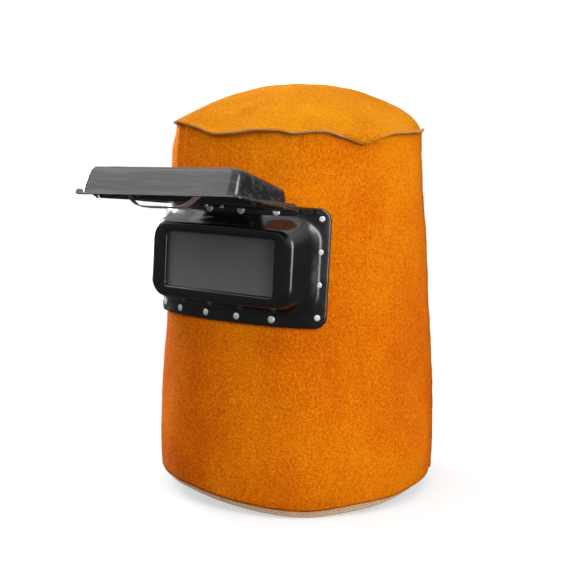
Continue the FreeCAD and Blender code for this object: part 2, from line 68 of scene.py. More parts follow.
# ---- the hood's plan shape, as in the CAD ----
FRONT_ARC = math.radians(14.7)
CORNER_ARC = math.radians(40.2)
BACK_SEAM = math.radians(118.0)
LEATHER = 2.0
STATIONS = [(0, 107.5, 0.2), (30, 109.6, 1.0), (62, 108.6, 2.2), (95, 106.6, 3.5), (145, 103.6, 5.0),
            (190, 101.2, 6.4), (232, 98.6, 7.5), (280, 96.4, 7.0), (300, 95.6, 7.0)]


def smooth(a, b, x):
    t = np.clip((np.asarray(x, float) - a) / (b - a), 0, 1)
    return t * t * (3 - 2 * t)


def bell(x, centre, width):
    return np.exp(-((np.asarray(x, float) - centre) / width) ** 2)


def through(keys, x, period=None):
    """Smooth curve through (x, value) keys."""
    kx, kv = (np.array(c, float) for c in zip(*keys))
    if period:
        kx = np.concatenate([kx - period, kx, kx + period])
        kv = np.tile(kv, 3)
    slope = np.gradient(kv, kx)
    x = np.asarray(x, float)
    i = np.clip(np.searchsorted(kx, x) - 1, 0, len(kx) - 2)
    h = kx[i + 1] - kx[i]
    t = np.clip((x - kx[i]) / h, 0, 1)
    a, b = kv[i], kv[i + 1]
    m0, m1 = slope[i] * h, slope[i + 1] * h
    return (a * (2 * t**3 - 3 * t**2 + 1) + m0 * (t**3 - 2 * t**2 + t)
            + b * (3 * t**2 - 2 * t**3) + m1 * (t**3 - t**2))


def plan_xy(radius, flat, angle, offset=0.0):
    """Points on the plan outline: flattened front arc, tighter corners, round back."""
    radius, flat, angle, offset = np.broadcast_arrays(radius, flat, angle, offset)
    chord = (math.cos(FRONT_ARC) - math.cos(CORNER_ARC)) / (math.sin(CORNER_ARC) - math.sin(FRONT_ARC))
    front_r = radius - flat / (1 - math.cos(FRONT_ARC) - chord * math.sin(FRONT_ARC))
    step = math.sin(FRONT_ARC) / (math.sin(CORNER_ARC) - math.sin(FRONT_ARC))
    corner_r = radius - (front_r - radius) * step
    front_y = front_r - radius + flat
    gap = front_r - corner_r
    a = np.abs(angle)
    on_front, on_corner = a <= FRONT_ARC, a <= CORNER_ARC
    cx = np.where(on_front, 0, np.where(on_corner, gap * math.sin(FRONT_ARC), 0))
    cy = np.where(on_front, front_y, np.where(on_corner, front_y - gap * math.cos(FRONT_ARC), 0))
    r = np.where(on_front, front_r, np.where(on_corner, corner_r, radius)) + offset
    x = cx + np.sin(a) * r
    return np.where(angle >= 0, x, -x), cy - np.cos(a) * r


# plan angle from the front and height of the crown leather's ragged lower edge: the keys from
# -50 to 91.5 are measured places on that edge, rounded and adjusted, and the rest are guessed
SEAM_EDGE = [(-150, 282), (-118, 281.5), (-90, 284), (-70, 285.6), (-50, 286.4), (-30, 287.6),
             (-14, 287.4), (-9, 285), (-3.5, 281.2), (0.5, 282), (4, 283.1), (7, 284.6), (13.5, 285),
             (22, 283.5), (32.5, 283.5), (42, 284.4), (47.5, 283.7), (52.5, 280.5), (57.5, 277),
             (60.5, 274.8), (62.5, 274), (65, 274.7), (70, 277.5), (76.5, 280.8), (82.5, 281.4),
             (91.5, 281.3), (118, 281), (150, 282)]
# plan angle and how far the hem stands off the ground
HEM_LIFT = [(-150, 3), (-118, 6), (-85, 10), (-45, 12.5), (-18, 12), (4, 7), (21, 3), (40, 0.6), (55, 2.2),
            (75, 5.2), (92, 10.5), (125, 7), (155, 2), (180, 0.5), (-179.9, 0.5)]


def edge_height(deg):
    return through(sorted(SEAM_EDGE), deg, 360)


def ridge_height(deg):
    """Height at which the crown crosses the wall: the lip hangs from it to edge_height."""
    return np.maximum(edge_height(deg) + 1.6, 282.2 + 3.0 * bell(deg, -38, 16))


def hem_lift(deg):
    return through(sorted(HEM_LIFT), deg, 360)


# plan angle and how much of the tape shows below the leather
TAPE_SHOWN = [(-150, 3.5), (-100, 2), (-62, 0.4), (-44, 1.6), (-20, 3.2), (10, 4.4), (40, 5.0),
              (64, 5.2), (80, 2.4), (92, 0.4), (120, 2), (150, 3.5)]


def leather_foot(deg):
    """Height of the leather's lower edge, below which the binding tape shows."""
    return hem_lift(deg) + through(TAPE_SHOWN, deg, 360)


def lump(points, scale, seed=0.0):
    """Smooth three-dimensional noise at points in millimetres, one value each."""
    flat = np.asarray(points, float).reshape(-1, 3) / scale
    out = np.array([noise.noise(Vector((p[0] + seed, p[1] - seed, p[2] + 2.3 * seed))) for p in flat])
    return out.reshape(np.asarray(points).shape[:-1])


def wall_offset(deg, z):
    """How far the leather of the wall stands out from, or sinks in behind, its CAD outline."""
    out = -3.4 * bell(deg, -52, 24) * smooth(262, 287, z) - 1.8 * bell(deg, -56, 25) * bell(z, 138, 30)
    out += 1.0 * bell(deg, -27, 3.2) * smooth(236, 275, z) - 0.9 * bell(deg, -20.5, 3.5) * smooth(238, 272, z)
    out += 0.8 * bell(deg, 70, 7) * smooth(250, 274, z) - 0.8 * bell(deg, 58, 6) * smooth(240, 276, z)
    out -= 1.2 * smooth(14, 0, z)
    eye = smooth(64, 50, np.abs(deg)) * smooth(118, 140, z) * smooth(248, 236, z)
    return out, 1 - 0.9 * eye


def wall_points(angle, z, offset=0.0):
    """The outer face of the upright leather, with the soft unevenness that hide has."""
    deg = np.degrees(angle)
    zs = np.array([s[0] for s in STATIONS], float)
    radius = through([(s[0], s[1]) for s in STATIONS], np.clip(z, 0, zs[-1]))
    flat = through([(s[0], s[2]) for s in STATIONS], np.clip(z, 0, zs[-1]))
    set_off, free = wall_offset(deg, z)
    x, y = plan_xy(radius, flat, angle)
    raw = np.stack([x, y, np.broadcast_to(z, x.shape)], axis=-1)
    stretched = raw * np.array([1.0, 1.0, 0.62])
    uneven = 1.25 * lump(stretched, 46, 3.1) + 0.5 * lump(stretched, 19, 7.7) + 0.16 * lump(raw, 7, 1.3)
    under_flange = 0.75 * (1 - free)
    x, y = plan_xy(radius, flat, angle, set_off + uneven * free + under_flange + offset)
    return np.stack([x, y, np.broadcast_to(z, x.shape)], axis=-1)


def new_object(name, points, faces, smooth_faces=True):
    mesh = bpy.data.meshes.new(name)
    mesh.from_pydata((np.asarray(points, float).reshape(-1, 3) * MM).tolist(), [], faces)
    mesh.validate()
    mesh.update()
    if smooth_faces:
        mesh.polygons.foreach_set("use_smooth", [True] * len(mesh.polygons))
    o = bpy.data.objects.new(name, mesh)
    bpy.context.scene.collection.objects.link(o)
    return o


def grid_faces(rows, cols, closed=False, start=0, flip=False):
    faces = []
    for i in range(rows - 1):
        for j in range(cols if closed else cols - 1):
            k = (j + 1) % cols
            here, above = start + i * cols, start + (i + 1) * cols
            quad = (here + j, here + k, above + k, above + j)
            faces.append(quad[::-1] if flip else quad)
    return faces


def modifier(o, kind, **settings):
    m = o.modifiers.new(kind.title(), kind)
    for k, v in settings.items():
        setattr(m, k, v)
    return m


def bake(o):
    """Applies the modifiers of o to its mesh."""
    done = bpy.data.meshes.new_from_object(o.evaluated_get(bpy.context.evaluated_depsgraph_get()))
    done.name = o.name
    o.modifiers.clear()
    o.data = done
    return o


# ---- materials ----
def linear(r, g, b):
    share = [c / 255 for c in (r, g, b)]
    return tuple((c / 12.92 if c <= 10 / 255 else ((c + 0.055) / 1.055) ** 2.4) for c in share) + (1.0,)


class Shader:
    """A material's node tree with short helpers."""

    def __init__(self, name, **sockets):
        self.m = bpy.data.materials.new(name)
        self.m.use_nodes = True
        self.t = self.m.node_tree
        self.p = self.t.nodes["Principled BSDF"]
        self.coords = self.t.nodes.new("ShaderNodeTexCoord").outputs["Object"]
        for k, v in sockets.items():
            self.p.inputs[k.replace("_", " ").title().replace("Ior", "IOR")].default_value = v

    def node(self, kind, links=(), **values):
        n = self.t.nodes.new("ShaderNode" + kind)
        for k, v in values.items():
            setattr(n, k, v)
        for socket, source in links:
            if hasattr(source, "is_output") or isinstance(source, bpy.types.NodeSocket):
                self.t.links.new(source, n.inputs[socket])
            else:
                n.inputs[socket].default_value = source
        return n

    def noise(self, scale, detail=3.0, rough=0.55, source=None, squeeze=None):
        source = source or self.coords
        if squeeze:
            source = self.node("Mapping", [(0, source), (3, squeeze)]).outputs[0]
        inputs = [("Vector", source), ("Scale", scale), ("Detail", detail), ("Roughness", rough)]
        n = self.node("TexNoise", inputs)
        return n.outputs["Fac"]

    def math(self, how, a, b, clamp=False):
        return self.node("Math", [(0, a), (1, b)], operation=how, use_clamp=clamp).outputs[0]

    def mix(self, fac, a, b):
        n = self.node("Mix", data_type="RGBA")
        for i, v in ((0, fac), (6, a), (7, b)):
            if isinstance(v, bpy.types.NodeSocket):
                self.t.links.new(v, n.inputs[i])
            else:
                n.inputs[i].default_value = v
        return n.outputs[2]

    def ramp(self, value, stops):
        n = self.node("ValToRGB", [(0, value)])
        r = n.color_ramp
        while len(r.elements) < len(stops):
            r.elements.new(0.5)
        for e, (at, colour) in zip(r.elements, stops):
            e.position = at
            e.color = colour if hasattr(colour, "__len__") else (colour, colour, colour, 1)
        return n.outputs[0]

    def bump(self, height, distance, strength=1.0, normal=None):
        links = [("Height", height), ("Distance", distance), ("Strength", strength)]
        if normal is not None:
            links.append(("Normal", normal))
        return self.node("Bump", links).outputs[0]

    def set(self, socket, source):
        self.t.links.new(source, self.p.inputs[socket])
        return self


def suede(name, dark, mid, light, nap, painted_side_shade=0.0):
    """Split hide: fine nap over broad cloudy patches. painted_side_shade paints shade across the hide, darker
    towards -x, away from the wearer's left, and lighter towards +x; when it is set, painted light also makes
    the hide lighter towards the top and darker towards the bottom.
    """
    s = Shader(name, roughness=0.95, specular_ior_level=0.06, sheen_weight=0.04, sheen_roughness=0.5)
    s.p.inputs["Sheen Tint"].default_value = linear(255, 150, 60)
    grain = s.noise(860, 3.0, 0.62)
    clump = s.noise(430, 2.0, 0.6)
    patch = s.noise(15, 4.0, 0.62, squeeze=(1, 1, 0.7))
    broad = s.noise(6.5, 2.0, 0.5)
    fine = s.math("ADD", s.math("MULTIPLY", grain, 0.6), s.math("MULTIPLY", clump, 0.4))
    wide = s.math("ADD", s.math("MULTIPLY", patch, 0.6), s.math("MULTIPLY", broad, 0.4))
    speck = s.math("MULTIPLY", s.math("SUBTRACT", fine, 0.5), nap)
    tone = s.math("ADD", wide, speck)
    if painted_side_shade:
        # painted shade and light across the hide: the tone falls towards -x, away from the wearer's left, and
        # rises towards +x
        across = s.node("SeparateXYZ", [(0, s.coords)]).outputs[0]
        side = s.ramp(s.math("ADD", s.math("MULTIPLY", across, 5.0), 0.5), [(0.15, 0.0), (0.85, 1.0)])
        tone = s.math("ADD", tone, s.math("MULTIPLY", s.math("SUBTRACT", side, 0.5), painted_side_shade))
        # painted light from above: the tone rises towards the top of the hide and falls towards the bottom
        up = s.node("SeparateXYZ", [(0, s.coords)]).outputs[2]
        tone = s.math("ADD", tone, s.math("MULTIPLY", s.math("SUBTRACT", up, 0.16), 0.7))
    s.set("Base Color", s.ramp(tone, [(0.26, dark), (0.5, mid), (0.74, light)]))
    fibre = s.noise(1900, 2.0, 0.7)
    rise = s.math("ADD", s.math("MULTIPLY", grain, 1.0), s.math("MULTIPLY", fibre, 0.35))
    s.set("Normal", s.bump(rise, 0.0011, 0.55, s.bump(clump, 0.0012, 0.35)))
    return s.m


def raw_edge(name):
    s = Shader(name, roughness=0.95, specular_ior_level=0.15)
    fibre = s.noise(1300, 3.0, 0.7)
    dark, mid, light = linear(180, 130, 86), linear(228, 180, 132), linear(240, 204, 160)
    s.set("Base Color", s.ramp(fibre, [(0.3, dark), (0.55, mid), (0.8, light)]))
    s.set("Normal", s.bump(fibre, 0.0006, 0.7))
    return s.m


def enamel(name, base, rough, wobble=1.0, dust=0.3, coat=0.5, scuff=0.0):
    s = Shader(name, roughness=rough, specular_ior_level=0.5, coat_weight=coat, coat_roughness=0.06)
    blotch = s.noise(60, 3.0, 0.6)
    paint = s.mix(blotch, linear(base, base, base), linear(base + 7, base + 6, base + 6))
    if scuff:
        streak = s.noise(55, 4.0, 0.7, squeeze=(0.35, 4, 4))
        paint = s.mix(s.ramp(streak, [(0.5, 0.0), (0.8, scuff)]), paint, linear(120, 116, 118))
    s.set("Base Color", paint)
    smear = s.noise(34, 4.0, 0.65, squeeze=(1, 1, 2.2))
    s.set("Roughness", s.ramp(smear, [(0.3, rough * 0.8), (0.75, rough + 0.12 * dust)]))
    peel = s.noise(420, 2.0, 0.5)
    waves = s.noise(95, 2.0, 0.5)
    s.set("Normal", s.bump(peel, 0.00006, 0.35 * wobble, s.bump(waves, 0.00035, 0.35 * wobble)))
    return s.m


def metal(name, base, rough, scratch=300, depth=0.0001, metallic=1.0):
    s = Shader(name, metallic=metallic, roughness=rough)
    wear = s.noise(160, 4.0, 0.65)
    s.set("Base Color", s.mix(wear, linear(*[c * 0.8 for c in base]), linear(*base)))
    s.set("Roughness", s.ramp(wear, [(0.3, rough * 0.8), (0.75, min(1.0, rough * 1.35))]))
    s.set("Normal", s.bump(s.noise(scratch, 3.0, 0.6), depth, 0.5))
    return s.m


def woven(name, base):
    s = Shader(name, roughness=0.88, specular_ior_level=0.2, sheen_weight=0.15, sheen_roughness=0.5)
    a = s.noise(900, 2.0, 0.6, squeeze=(1, 1, 3.2))
    b = s.noise(70, 3.0, 0.6)
    rib = s.node("TexWave", [("Vector", s.coords), ("Scale", 330.0), ("Distortion", 1.2), ("Detail", 2.0),
                             ("Detail Scale", 2.0)], bands_direction="Z").outputs["Fac"]
    tone = s.math("ADD", s.math("MULTIPLY", a, 0.5), s.math("MULTIPLY", rib, 0.25))
    tone = s.math("ADD", tone, s.math("MULTIPLY", b, 0.3))
    dark = linear(*[c * 0.66 for c in base])
    light = linear(*[min(255, c * 1.14) for c in base])
    s.set("Base Color", s.ramp(tone, [(0.2, dark), (0.55, linear(*base)), (0.85, light)]))
    s.set("Normal", s.bump(tone, 0.0006, 0.6))
    return s.m


def rubber(name):
    s = Shader(name, roughness=0.75, specular_ior_level=0.3)
    n = s.noise(500, 3.0, 0.6)
    s.set("Base Color", s.mix(n, linear(14, 14, 14), linear(30, 30, 30)))
    s.set("Normal", s.bump(n, 0.0001, 0.4))
    return s.m


def pane(name, base, clear, rough=0.04):
    s = Shader(name, roughness=rough, ior=1.5, transmission_weight=clear)
    smear = s.noise(26, 4.0, 0.7)
    s.set("Base Color", s.mix(smear, linear(*[c * 0.94 for c in base]), linear(*base)))
    s.set("Roughness", s.ramp(smear, [(0.35, rough), (0.8, rough + 0.06)]))
    return s.m


# the front hide carries painted side shade (0.03) and painted light towards its top; the crown's hide carries
# neither
SUEDE_FRONT = suede("suede_front", linear(206, 88, 3), linear(233, 117, 5), linear(247, 150, 10), 1.3, 0.03)
SUEDE_TOP = suede("suede_top", linear(180, 94, 5), linear(206, 126, 9), linear(222, 150, 18), 1.1)
RAW_EDGE = raw_edge("raw_edge")
TAPE = woven("binding_tape", (232, 190, 146))
THREAD = woven("thread", (206, 122, 48))
TAPE_THREAD = woven("tape_thread", (178, 146, 118))
BLACK = enamel("black_enamel", 15, 0.24, coat=0.25)
COVER_BLACK = enamel("cover_enamel", 17, 0.22, 1.6, 0.8, 0.3, 0.5)
SATIN = enamel("satin_black", 20, 0.34, coat=0.1)
NICKEL = metal("nickel_rivets", (238, 238, 238), 0.42, metallic=0.45)
DULL = metal("dull_steel", (150, 150, 152), 0.36)
STRIP = metal("spring_strip", (190, 190, 192), 0.4, metallic=0.5)
WIRE = metal("spring_wire", (84, 64, 50), 0.36, 900, metallic=0.7)
RUBBER = rubber("gasket_rubber")
CLEAR = pane("clear_glass", (238, 242, 242), 0.0)
CLEAR.node_tree.nodes["Principled BSDF"].inputs["Alpha"].default_value = 0.06
TINTED = pane("tinted_glass", (76, 76, 76), 0.0, 0.5)
FILTER = pane("filter_glass", (12, 26, 18), 0.0, 0.05)


# ---- front panel ----
def front_panel():
    cols = 300
    end = BACK_SEAM - LEATHER / 105 / 2
    angle = np.linspace(-end, end, cols)
    deg = np.degrees(angle)
    lift = leather_foot(deg)
    top = ridge_height(deg) - np.clip(0.8 * (ridge_height(deg) - edge_height(deg)), 4.6, 7.6)
    rows = []
    for v in np.linspace(0, 1, 150):
        rows.append(wall_points(angle, lift + (top - lift) * v))
    tucked = np.clip(1.4 - (ridge_height(deg) - edge_height(deg)) / 4, 0, 1)
    for rise, out in ((0.9, 0.5), (1.5, 1.3), (1.7, 2.1), (1.6, 2.8)):
        rows.append(wall_points(angle, top + rise * tucked - 0.6 * (1 - tucked), out * tucked))
    grid = np.array(rows)
    sides = []
    for j, side in ((0, -1), (cols - 1, 1)):
        outward = np.array([math.sin(side * end), -math.cos(side * end), 0.0])
        away = np.array([math.cos(side * end), math.sin(side * end), 0.0]) * -side
        base = grid[:150, j]
        steps = []
        for k, (out, in_) in enumerate(((0.2, 0.0), (0.4, 0.3), (0.7, 0.35), (1.0, 0.3))):
            ragged = 0.3 * lump(base, 9, 4.0 + side)[:, None] if k > 1 else 0.0
            steps.append(base + outward * (out + ragged) + away * in_ * (1 - smooth(0, 1.4, out)))
        sides.append(steps)
    left = np.stack(sides[0][::-1], axis=1)
    right = np.stack(sides[1], axis=1)
    body = np.concatenate([left, grid[:150], right], axis=1)
    n_cols = body.shape[1]
    points = list(body.reshape(-1, 3))
    faces = grid_faces(150, n_cols)
    lip_start = len(points)
    points += list(grid[150:].reshape(-1, 3))
    first = [149 * n_cols + 4 + j for j in range(cols)]
    for j in range(cols - 1):
        faces.append((first[j], first[j + 1], lip_start + j + 1, lip_start + j))
    faces += grid_faces(4, cols, start=lip_start)
    o = new_object("front_leather", points, faces)
    o.data.materials.append(SUEDE_FRONT)
    o.data.materials.append(RAW_EDGE)
    modifier(o, "SOLIDIFY", thickness=LEATHER * MM, offset=-1, material_offset_rim=1, use_even_offset=False)
    bake(o)
    cutter = box_cutter()
    modifier(o, "BOOLEAN", operation="DIFFERENCE", object=cutter, solver="EXACT")
    bpy.context.view_layer.update()
    bake(o)
    bpy.data.objects.remove(cutter)
    return o


EYE = Matrix.Translation(Vector((0, -0.103, 0.1885))) @ Matrix.Rotation(math.radians(-5.0), 4, "X")
AXIS_Y, AXIS_Z = -1.0, 43.0
OPEN = EYE @ Matrix.Translation(Vector((0, AXIS_Y, AXIS_Z)) * MM) @ Matrix.Rotation(
    math.radians(-97.7), 4, "X") @ Matrix.Translation(Vector((0, -AXIS_Y, -AXIS_Z)) * MM)


def box_cutter():
    points = [(x, y, z) for x in (-66, 66) for y in (-20, 60) for z in (-32, 34)]
    faces = [(0, 1, 3, 2), (4, 6, 7, 5), (0, 4, 5, 1), (2, 3, 7, 6), (0, 2, 6, 4), (1, 5, 7, 3)]
    o = new_object("cutter", points, faces, False)
    o.data.transform(EYE)
    return o


# ---- crown and back, one piece ----
CROWN_TOP = 315.7


def crown_height(t, deg):
    """Height of the crown at the share t of the way out from its middle."""
    ridge = ridge_height(deg)
    round_ = 280 + (CROWN_TOP - 280) * np.clip(1 - t * t, 0, 1) ** 0.64
    slope = ridge + (CROWN_TOP - ridge) * (1 - np.clip(t, 0, 1) ** (2 - 0.15 * bell(deg, -60, 45)))
    back = smooth(92, 116, np.abs(deg))
    return round_ * back + slope * (1 - back)


# soft folds of the crown: two ends, width and height of each
FOLDS = [((34, -62), (26, -92), 7.0, -1.5), ((46, -60), (44, -84), 9.0, 1.1),
         ((92, -30), (66, -34), 5.0, 1.7), ((92, -30), (74, -50), 5.0, -1.4),
         ((92, -30), (80, 0), 6.0, -1.2), ((96, -22), (88, -4), 4.0, 1.0),
         ((-20, -88), (0, -66), 6.0, 1.0), ((-6, -88), (12, -64), 8.0, -1.0),
         ((60, 20), (86, 6), 8.0, -0.9), ((-60, -60), (-36, -50), 7.0, -1.0),
         ((-40, 40), (-80, 20), 9.0, 0.9), ((0, 60), (20, 92), 9.0, -0.8)]


def crown_folds(x, y):
    out = np.zeros_like(x)
    for (ax, ay), (bx, by), width, height in FOLDS:
        dx, dy = bx - ax, by - ay
        t = np.clip(((x - ax) * dx + (y - ay) * dy) / (dx * dx + dy * dy), 0, 1)
        d = np.hypot(x - ax - t * dx, y - ay - t * dy)
        out += height * np.exp(-(d / width) ** 2)
    return 1.7 * out


def crown_back():
    cols = 400
    angle = np.linspace(-math.pi, math.pi, cols, endpoint=False)
    deg = np.degrees(angle)
    rim = wall_points(angle, np.full(cols, 281.0))
    points = [np.array([0, 0, CROWN_TOP])]
    rows = 70
    ts = np.linspace(0, 1, rows + 1)[1:]
    ts = 1 - (1 - ts) ** 1.35
    for t in ts:
        x, y = rim[:, 0] * t, rim[:, 1] * t
        z = crown_height(t, deg)
        raw = np.stack([x, y, z], axis=-1)
        soft = 1.3 * lump(raw, 40, 5.0) + 0.45 * lump(raw, 15, 2.0) + 0.12 * lump(raw, 6, 9.0)
        edge = 1 - 0.97 * t**8
        z = z + (soft + crown_folds(x, y)) * edge * smooth(0, 0.1, t)
        points += list(np.stack([x, y, z], axis=-1))
    points[0] = np.array([0, 0, np.mean([p[2] for p in points[1:cols + 1]])])
    faces = [(0, 1 + j, 1 + (j + 1) % cols) for j in range(cols)]
    faces += grid_faces(rows, cols, True, 1, flip=True)
    last = np.array(points[-cols:])
    last_start = 1 + (rows - 1) * cols
    front = [j for j in range(cols) if abs(angle[j]) <= BACK_SEAM + 0.001]
    back = [(j + front[-1]) % cols for j in range(cols - len(front) + 2)]
    ridge = last[front]
    drop = ridge[:, 2] - edge_height(deg[front])
    lip_rows = []
    taper = smooth(118, 94, np.abs(deg[front])) * (1 - 0.75 * bell(deg[front], -50, 14))
    for k, s in enumerate((0.25, 0.5, 0.75, 1.0)):
        z = ridge[:, 2] - drop * s**1.25
        out = taper * (4.6 * math.sin(s * 1.35)) + 0.25
        ragged = 0.35 * lump(ridge, 8, 2.0) + 0.25 * lump(ridge, 3.5, 6.0) if s == 1.0 else 0.0
        p = wall_points(angle[front], np.clip(z, 0, 299), out)
        p[:, 2] = z + ragged
        lip_rows.append(p)
    start = len(points)
    for p in lip_rows:
        points += list(p)
    n = len(front)
    for j in range(n - 1):
        a, b = last_start + front[j], last_start + front[j + 1]
        faces.append((a, start + j, start + j + 1, b))
    faces += grid_faces(4, n, start=start, flip=True)
    # the back wall runs on from the crown
    m = len(back)
    back_angle = np.where(angle[back] < 0, angle[back] + 2 * math.pi, angle[back])
    back_deg = np.degrees(angle[back])
    lift = leather_foot(back_deg)
    walls = []
    n_rows = 140
    for v in np.linspace(1, 0, n_rows + 1)[1:]:
        z = lift + (280.0 - lift) * v
        walls.append(wall_points(np.where(back_angle > math.pi, back_angle - 2 * math.pi, back_angle), z))
    body = np.array(walls)
    edge = last[back]
    for k in range(10):
        w = (1 - k / 10) ** 2
        body[k, :, :2] = body[k, :, :2] * (1 - w) + (edge[:, :2] + (body[k, :, :2] - edge[:, :2]) * 0.3) * w
    start = len(points)
    points += list(body.reshape(-1, 3))
    for j in range(m - 1):
        faces.append((last_start + back[j], start + j, start + j + 1, last_start + back[j + 1]))
    faces += grid_faces(n_rows, m, start=start, flip=True)
    # raw-edge flanges beside the front panel's
    for j, side in ((0, 1), (m - 1, -1)):
        a = side * BACK_SEAM
        outward = np.array([math.sin(a), -math.cos(a), 0.0])
        base = body[:, j]
        ids = [start + i * m + j for i in range(n_rows)]
        previous = ids
        for k, out in enumerate((0.2, 0.5, 0.9, 1.3)):
            ragged = 0.4 * lump(base, 9, 8.0 + side)[:, None] if k > 1 else 0.0
            new = base + outward * (out + ragged)
            at = len(points)
            points += list(new)
            now = [at + i for i in range(n_rows)]
            for i in range(n_rows - 1):
                quad = (previous[i], now[i], now[i + 1], previous[i + 1])
                faces.append(quad if side > 0 else quad[::-1])
            previous = now
    o = new_object("crown_back_leather", points, faces)
    o.data.materials.append(SUEDE_TOP)
    o.data.materials.append(RAW_EDGE)
    modifier(o, "SOLIDIFY", thickness=LEATHER * MM, offset=-1, material_offset_rim=1, use_even_offset=False)
    return o


# ---- hem tape ----
def hem_tape():
    cols = 420
    angle = np.linspace(-math.pi, math.pi, cols, endpoint=False)
    deg = np.degrees(angle)
    lift = hem_lift(deg)
    wave = 0.5 * np.sin(np.radians(deg) * 7 + 1) + 0.35 * np.sin(np.radians(deg) * 17)
    profile = [(-3.1, 9.0), (-3.2, 5.0), (-3.0, 0.7), (-2.3, 0.02), (-1.3, 0.02), (-0.75, 0.35), (-0.5, 1.0),
               (-0.5, 2.4), (-0.62, 2.8), (-0.5, 3.2), (-0.5, 4.6), (-0.6, 6.0), (-0.9, 7.6)]
    rows = []
    for out, up in profile:
        z = np.maximum(lift + up + wave * smooth(0, 5, up) * (out > -1), 0.02)
        rows.append(wall_points(angle, z, out + 0.05))
    grid = np.array(rows)
    o = new_object("hem_tape", grid.reshape(-1, 3), grid_faces(len(profile), cols, True))
    o.data.materials.append(TAPE)
    modifier(o, "SOLIDIFY", thickness=0.0005, offset=-1)
    return o


# ---- sewing thread ----
def stitches(name, centres, alongs, normals, length, width, material):
    """Short rounded stitches, each sunk a little into what it sews."""
    points, faces = [], []
    ring = [(math.cos(a), math.sin(a)) for a in np.linspace(0, 2 * math.pi, 6, endpoint=False)]
    for c, a, n in zip(centres, alongs, normals):
        a, n = np.array(a) / np.linalg.norm(a), np.array(n) / np.linalg.norm(n)
        b = np.cross(a, n)
        start = len(points)
        for s in (-1, -0.72, -0.3, 0.3, 0.72, 1):
            thick = width * math.sqrt(max(0.05, 1 - s * s * 0.85))
            high = -width * 0.6 * s * s
            for u, v in ring:
                points.append(np.array(c) + a * s * length / 2 + b * u * thick + n * (v * thick + high))
        for i in range(5):
            for j in range(6):
                k = (j + 1) % 6
                here, above = start + i * 6, start + (i + 1) * 6
                faces.append((here + j, here + k, above + k, above + j))
        faces.append(tuple(start + j for j in range(6))[::-1])
        faces.append(tuple(start + 30 + j for j in range(6)))
    o = new_object(name, points, faces)
    o.data.materials.append(material)
    return o


def hem_stitches():
    angle = np.linspace(-math.pi, math.pi, 170, endpoint=False)
    deg = np.degrees(angle)
    z = hem_lift(deg) + 2.8 + 0.2 * np.sin(np.radians(deg) * 7 + 1)
    p = wall_points(angle, z, -0.4)
    q = wall_points(angle + 0.01, hem_lift(deg + 0.57) + 2.8, -0.4)
    n = np.stack([np.sin(angle), -np.cos(angle), angle * 0], axis=-1)
    return stitches("hem_thread", p, q - p, n, 2.6, 0.24, TAPE_THREAD)


def back_stitches():
    centres, alongs, normals = [], [], []
    for side in (-1, 1):
        for z in np.arange(20, 276, 4.2):
            a = side * (BACK_SEAM - 0.035)
            p = wall_points(np.array([a]), np.array([float(z)]), 0.12)[0]
            q = wall_points(np.array([a]), np.array([float(z) + 1]), 0.12)[0]
            centres.append(p)
            alongs.append(q - p)
            normals.append((math.sin(a), -math.cos(a), 0))
    return stitches("seam_thread", centres, alongs, normals, 2.6, 0.26, THREAD)


# ---- pressed sheet metal: nested rounded rectangles ----
def ring_params(side, corner):
    """(which corner, share of its arc) for each point of a rounded rectangle, with side points between."""
    out = []
    for c in range(4):
        for k in range(corner + 1):
            out.append((c, k / corner, 0.0))
        for k in range(1, side):
            out.append((c, 1.0, k / side))
    return out


CORNERS = [(1, 1), (-1, 1), (-1, -1), (1, -1)]
RING = ring_params(10, 7)


def rectangle(half, low, high, radius):
    """Points of a rounded rectangle in x and z, starting at the right side's top corner."""
    mid, tall = (low + high) / 2, (high - low) / 2
    radius = min(radius, half, tall)
    corners = []
    for i, (sx, sz) in enumerate(CORNERS):
        centre = np.array([sx * (half - radius), mid + sz * (tall - radius)])
        a0 = math.pi / 2 * i
        corners.append((centre, a0))
    points = []
    for c, arc, along in RING:
        centre, a0 = corners[c]
        a = a0 + arc * math.pi / 2
        p = centre + radius * np.array([math.cos(a), math.sin(a)])
        if along:
            nxt, b0 = corners[(c + 1) % 4]
            q = nxt + radius * np.array([math.cos(b0), math.sin(b0)])
            p = p + (q - p) * along
        points.append(p)
    return np.array(points)


EYE_R, EYE_FLAT, EYE_BACK = 101.2, 6.4, 103.0


def curve_table():
    """Distance round the eyepiece's curve against plan angle and x."""
    a = np.linspace(-1.2, 1.2, 2401)
    x, y = plan_xy(EYE_R, EYE_FLAT, a)
    s = np.concatenate([[0], np.cumsum(np.hypot(np.diff(x), np.diff(y)))])
    return a, x, s - s[1200]


CURVE_A, CURVE_X, CURVE_S = curve_table()


def on_flange(s, z, offset):
    a = np.interp(s, CURVE_S, CURVE_A)
    x, y = plan_xy(EYE_R, EYE_FLAT, a, offset)
    return np.stack([x, y + EYE_BACK, z], axis=-1)


FLANGE_FACE = 2.1


def bow(p, half, amount):
    """Lets the middle of the top and bottom edges stand out further than their ends."""
    mid = p[:, 1].mean()
    up = np.sign(p[:, 1] - mid)
    p[:, 1] += up * amount * (1 - (p[:, 0] / half) ** 2) - up * amount * 0.45
    return p


